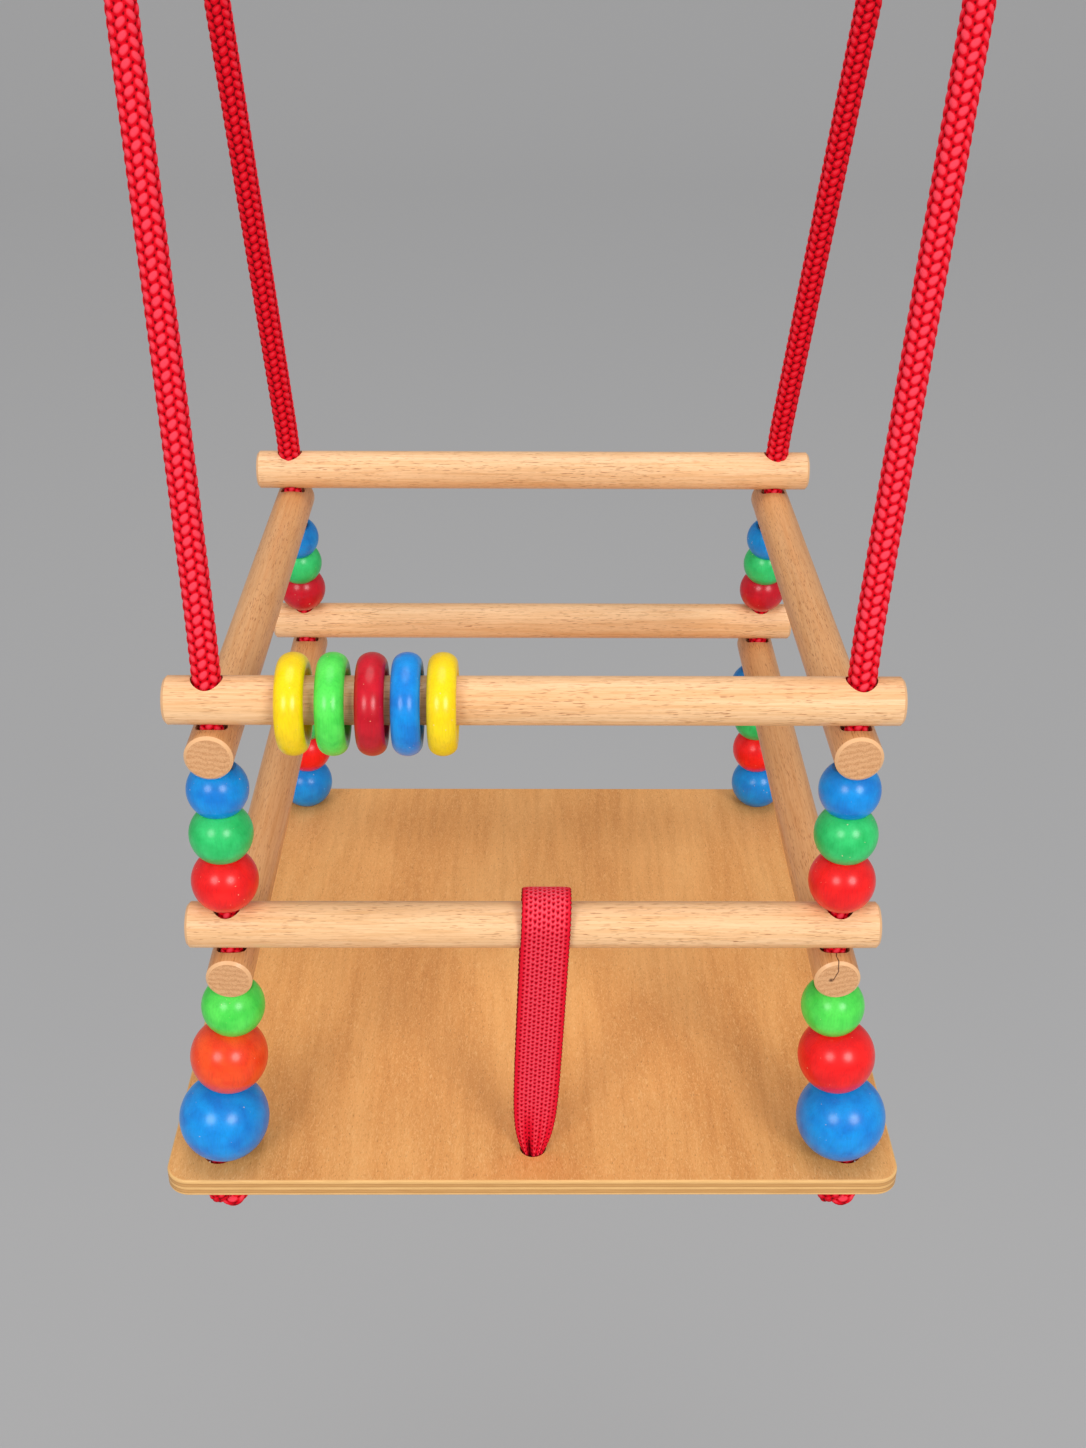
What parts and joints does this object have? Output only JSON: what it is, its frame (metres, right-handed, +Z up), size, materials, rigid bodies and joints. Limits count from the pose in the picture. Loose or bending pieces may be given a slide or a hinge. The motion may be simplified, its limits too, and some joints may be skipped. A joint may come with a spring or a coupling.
{
  "type": "toddler bucket swing",
  "caption": "Toddler swing seat with a plywood board, two levels of beech guard rails, coloured wooden beads, play rings on the front bar, a crotch strap and two braided ropes on steel rings.",
  "frame": {"origin": "in the middle plane of the swing, on the axis through the lower wire of both hanging rings, which the swing swings about", "axes": "+Z up, -Y the way the child faces, +X to the right as seen from the front"},
  "size_m": [0.412, 0.3348, 1.023],
  "materials": {
    "beech": "satin clear lacquer",
    "lacquer_blue": "glossy lacquer",
    "lacquer_bright_green": "glossy lacquer",
    "lacquer_dark_red": "glossy lacquer",
    "lacquer_green": "glossy lacquer",
    "lacquer_orange": "glossy lacquer",
    "lacquer_red": "glossy lacquer",
    "lacquer_yellow": "glossy lacquer",
    "plywood": "satin clear lacquer",
    "rope_red": "braided polyester",
    "steel": "zinc plated, satin",
    "strap_red": "knitted polyester webbing",
    "twine_red": "waxed twine"
  },
  "bodies": {
    "hanging_rings": {"hanging_ring_left": "steel", "hanging_ring_right": "steel"},
    "swing": {"crotch_strap": "strap_red", "crotch_strap_knot": "strap_red", "knot_back_left": "rope_red", "knot_back_right": "rope_red", "knot_front_left": "rope_red", "knot_front_right": "rope_red", "rail_lower_back": "beech", "rail_lower_front": "beech", "rail_lower_left": "beech", "rail_lower_right": "beech", "rail_upper_back": "beech", "rail_upper_left": "beech", "rail_upper_right": "beech", "rope_left": "rope_red", "rope_right": "rope_red", "seat_board": "plywood", "whipping_left": "twine_red", "whipping_right": "twine_red"},
    "front_bar": {"rail_upper_front": "beech"},
    "play_ring_yellow_outer": {"play_ring_yellow_outer": "lacquer_yellow"},
    "play_ring_green": {"play_ring_green": "lacquer_bright_green"},
    "play_ring_red": {"play_ring_red": "lacquer_dark_red"},
    "play_ring_blue": {"play_ring_blue": "lacquer_blue"},
    "play_ring_yellow_inner": {"play_ring_yellow_inner": "lacquer_yellow"},
    "bead_lower_front_left_blue": {"bead_lower_front_left_blue": "lacquer_blue"},
    "bead_lower_front_left_orange": {"bead_lower_front_left_orange": "lacquer_orange"},
    "bead_lower_front_left_green": {"bead_lower_front_left_green": "lacquer_bright_green"},
    "bead_upper_front_left_red": {"bead_upper_front_left_red": "lacquer_red"},
    "bead_upper_front_left_green": {"bead_upper_front_left_green": "lacquer_green"},
    "bead_upper_front_left_blue": {"bead_upper_front_left_blue": "lacquer_blue"},
    "bead_lower_back_left_blue": {"bead_lower_back_left_blue": "lacquer_blue"},
    "bead_lower_back_left_red": {"bead_lower_back_left_red": "lacquer_red"},
    "bead_lower_back_left_green": {"bead_lower_back_left_green": "lacquer_green"},
    "bead_lower_back_left_sky": {"bead_lower_back_left_sky": "lacquer_blue"},
    "bead_upper_back_left_red": {"bead_upper_back_left_red": "lacquer_dark_red"},
    "bead_upper_back_left_green": {"bead_upper_back_left_green": "lacquer_green"},
    "bead_upper_back_left_blue": {"bead_upper_back_left_blue": "lacquer_blue"},
    "bead_lower_front_right_blue": {"bead_lower_front_right_blue": "lacquer_blue"},
    "bead_lower_front_right_orange": {"bead_lower_front_right_orange": "lacquer_red"},
    "bead_lower_front_right_green": {"bead_lower_front_right_green": "lacquer_bright_green"},
    "bead_upper_front_right_red": {"bead_upper_front_right_red": "lacquer_red"},
    "bead_upper_front_right_green": {"bead_upper_front_right_green": "lacquer_green"},
    "bead_upper_front_right_blue": {"bead_upper_front_right_blue": "lacquer_blue"},
    "bead_lower_back_right_blue": {"bead_lower_back_right_blue": "lacquer_blue"},
    "bead_lower_back_right_red": {"bead_lower_back_right_red": "lacquer_red"},
    "bead_lower_back_right_green": {"bead_lower_back_right_green": "lacquer_green"},
    "bead_lower_back_right_sky": {"bead_lower_back_right_sky": "lacquer_blue"},
    "bead_upper_back_right_red": {"bead_upper_back_right_red": "lacquer_dark_red"},
    "bead_upper_back_right_green": {"bead_upper_back_right_green": "lacquer_green"},
    "bead_upper_back_right_blue": {"bead_upper_back_right_blue": "lacquer_blue"}
  },
  "joints": [
    {"name": "swing_sway", "type": "hinge", "parent": "hanging_rings", "child": "swing", "pos_m": [0, 0, 0], "axis": [1, 0, 0], "range_deg": [-30, 30]},
    {"name": "front_bar_lift", "type": "slide", "parent": "swing", "child": "front_bar", "axis": [0, 0.1857, 0.9826], "range_m": [0, 0.1], "deforming": ["rope_left", "rope_right"]},
    {"name": "play_ring_yellow_outer_slide", "type": "slide", "parent": "front_bar", "child": "play_ring_yellow_outer", "axis": [1, 0, 0], "range_m": [-0.0179, 0.0019]},
    {"name": "play_ring_green_slide", "type": "slide", "parent": "front_bar", "child": "play_ring_green", "axis": [1, 0, 0], "range_m": [-0.0019, 0.0018]},
    {"name": "play_ring_red_slide", "type": "slide", "parent": "front_bar", "child": "play_ring_red", "axis": [1, 0, 0], "range_m": [-0.0018, 0.001]},
    {"name": "play_ring_blue_slide", "type": "slide", "parent": "front_bar", "child": "play_ring_blue", "axis": [1, 0, 0], "range_m": [-0.001, 0.001]},
    {"name": "play_ring_yellow_inner_slide", "type": "slide", "parent": "front_bar", "child": "play_ring_yellow_inner", "axis": [1, 0, 0], "range_m": [-0.001, 0.1517]},
    {"name": "bead_lower_front_left_blue_spin", "type": "hinge", "parent": "swing", "child": "bead_lower_front_left_blue", "pos_m": [-0.14079, -0.14133, -0.91709], "axis": [0.134, 0.1125, 0.9846], "continuous": true},
    {"name": "bead_lower_front_left_orange_spin", "type": "hinge", "parent": "swing", "child": "bead_lower_front_left_orange", "pos_m": [-0.13628, -0.13753, -0.88392], "axis": [0.134, 0.1125, 0.9846], "continuous": true},
    {"name": "bead_lower_front_left_green_spin", "type": "hinge", "parent": "swing", "child": "bead_lower_front_left_green", "pos_m": [-0.13274, -0.13456, -0.8579], "axis": [0.134, 0.1125, 0.9846], "continuous": true},
    {"name": "bead_upper_front_left_red_spin", "type": "hinge", "parent": "swing", "child": "bead_upper_front_left_red", "pos_m": [-0.131, -0.13177, -0.79225], "axis": [0, 0.1052, 0.9945], "continuous": true},
    {"name": "bead_upper_front_left_green_spin", "type": "hinge", "parent": "swing", "child": "bead_upper_front_left_green", "pos_m": [-0.131, -0.12943, -0.77015], "axis": [0, 0.1052, 0.9945], "continuous": true},
    {"name": "bead_upper_front_left_blue_spin", "type": "hinge", "parent": "swing", "child": "bead_upper_front_left_blue", "pos_m": [-0.131, -0.12726, -0.74964], "axis": [0, 0.1052, 0.9945], "continuous": true},
    {"name": "bead_lower_back_left_blue_spin", "type": "hinge", "parent": "swing", "child": "bead_lower_back_left_blue", "pos_m": [-0.13825, 0.15717, -0.92293], "axis": [0.0881, -0.0518, 0.9948], "continuous": true},
    {"name": "bead_lower_back_left_red_spin", "type": "hinge", "parent": "swing", "child": "bead_lower_back_left_red", "pos_m": [-0.13608, 0.15589, -0.89836], "axis": [0.0881, -0.0518, 0.9948], "continuous": true},
    {"name": "bead_lower_back_left_green_spin", "type": "hinge", "parent": "swing", "child": "bead_lower_back_left_green", "pos_m": [-0.13415, 0.15475, -0.87657], "axis": [0.0881, -0.0518, 0.9948], "continuous": true},
    {"name": "bead_lower_back_left_sky_spin", "type": "hinge", "parent": "swing", "child": "bead_lower_back_left_sky", "pos_m": [-0.13217, 0.15359, -0.85417], "axis": [0.0881, -0.0518, 0.9948], "continuous": true},
    {"name": "bead_upper_back_left_red_spin", "type": "hinge", "parent": "swing", "child": "bead_upper_back_left_red", "pos_m": [-0.131, 0.15007, -0.78907], "axis": [0, -0.2368, 0.9716], "continuous": true},
    {"name": "bead_upper_back_left_green_spin", "type": "hinge", "parent": "swing", "child": "bead_upper_back_left_green", "pos_m": [-0.131, 0.14566, -0.77097], "axis": [0, -0.2368, 0.9716], "continuous": true},
    {"name": "bead_upper_back_left_blue_spin", "type": "hinge", "parent": "swing", "child": "bead_upper_back_left_blue", "pos_m": [-0.131, 0.14149, -0.75388], "axis": [0, -0.2368, 0.9716], "continuous": true},
    {"name": "bead_lower_front_right_blue_spin", "type": "hinge", "parent": "swing", "child": "bead_lower_front_right_blue", "pos_m": [0.14079, -0.14133, -0.91709], "axis": [-0.134, 0.1125, 0.9846], "continuous": true},
    {"name": "bead_lower_front_right_orange_spin", "type": "hinge", "parent": "swing", "child": "bead_lower_front_right_orange", "pos_m": [0.13628, -0.13753, -0.88392], "axis": [-0.134, 0.1125, 0.9846], "continuous": true},
    {"name": "bead_lower_front_right_green_spin", "type": "hinge", "parent": "swing", "child": "bead_lower_front_right_green", "pos_m": [0.13274, -0.13456, -0.8579], "axis": [-0.134, 0.1125, 0.9846], "continuous": true},
    {"name": "bead_upper_front_right_red_spin", "type": "hinge", "parent": "swing", "child": "bead_upper_front_right_red", "pos_m": [0.131, -0.13177, -0.79225], "axis": [0, 0.1052, 0.9945], "continuous": true},
    {"name": "bead_upper_front_right_green_spin", "type": "hinge", "parent": "swing", "child": "bead_upper_front_right_green", "pos_m": [0.131, -0.12943, -0.77015], "axis": [0, 0.1052, 0.9945], "continuous": true},
    {"name": "bead_upper_front_right_blue_spin", "type": "hinge", "parent": "swing", "child": "bead_upper_front_right_blue", "pos_m": [0.131, -0.12726, -0.74964], "axis": [0, 0.1052, 0.9945], "continuous": true},
    {"name": "bead_lower_back_right_blue_spin", "type": "hinge", "parent": "swing", "child": "bead_lower_back_right_blue", "pos_m": [0.13825, 0.15717, -0.92293], "axis": [-0.0881, -0.0518, 0.9948], "continuous": true},
    {"name": "bead_lower_back_right_red_spin", "type": "hinge", "parent": "swing", "child": "bead_lower_back_right_red", "pos_m": [0.13608, 0.15589, -0.89836], "axis": [-0.0881, -0.0518, 0.9948], "continuous": true},
    {"name": "bead_lower_back_right_green_spin", "type": "hinge", "parent": "swing", "child": "bead_lower_back_right_green", "pos_m": [0.13415, 0.15475, -0.87657], "axis": [-0.0881, -0.0518, 0.9948], "continuous": true},
    {"name": "bead_lower_back_right_sky_spin", "type": "hinge", "parent": "swing", "child": "bead_lower_back_right_sky", "pos_m": [0.13217, 0.15359, -0.85417], "axis": [-0.0881, -0.0518, 0.9948], "continuous": true},
    {"name": "bead_upper_back_right_red_spin", "type": "hinge", "parent": "swing", "child": "bead_upper_back_right_red", "pos_m": [0.131, 0.15007, -0.78907], "axis": [0, -0.2368, 0.9716], "continuous": true},
    {"name": "bead_upper_back_right_green_spin", "type": "hinge", "parent": "swing", "child": "bead_upper_back_right_green", "pos_m": [0.131, 0.14566, -0.77097], "axis": [0, -0.2368, 0.9716], "continuous": true},
    {"name": "bead_upper_back_right_blue_spin", "type": "hinge", "parent": "swing", "child": "bead_upper_back_right_blue", "pos_m": [0.131, 0.14149, -0.75388], "axis": [0, -0.2368, 0.9716], "continuous": true}
  ]
}
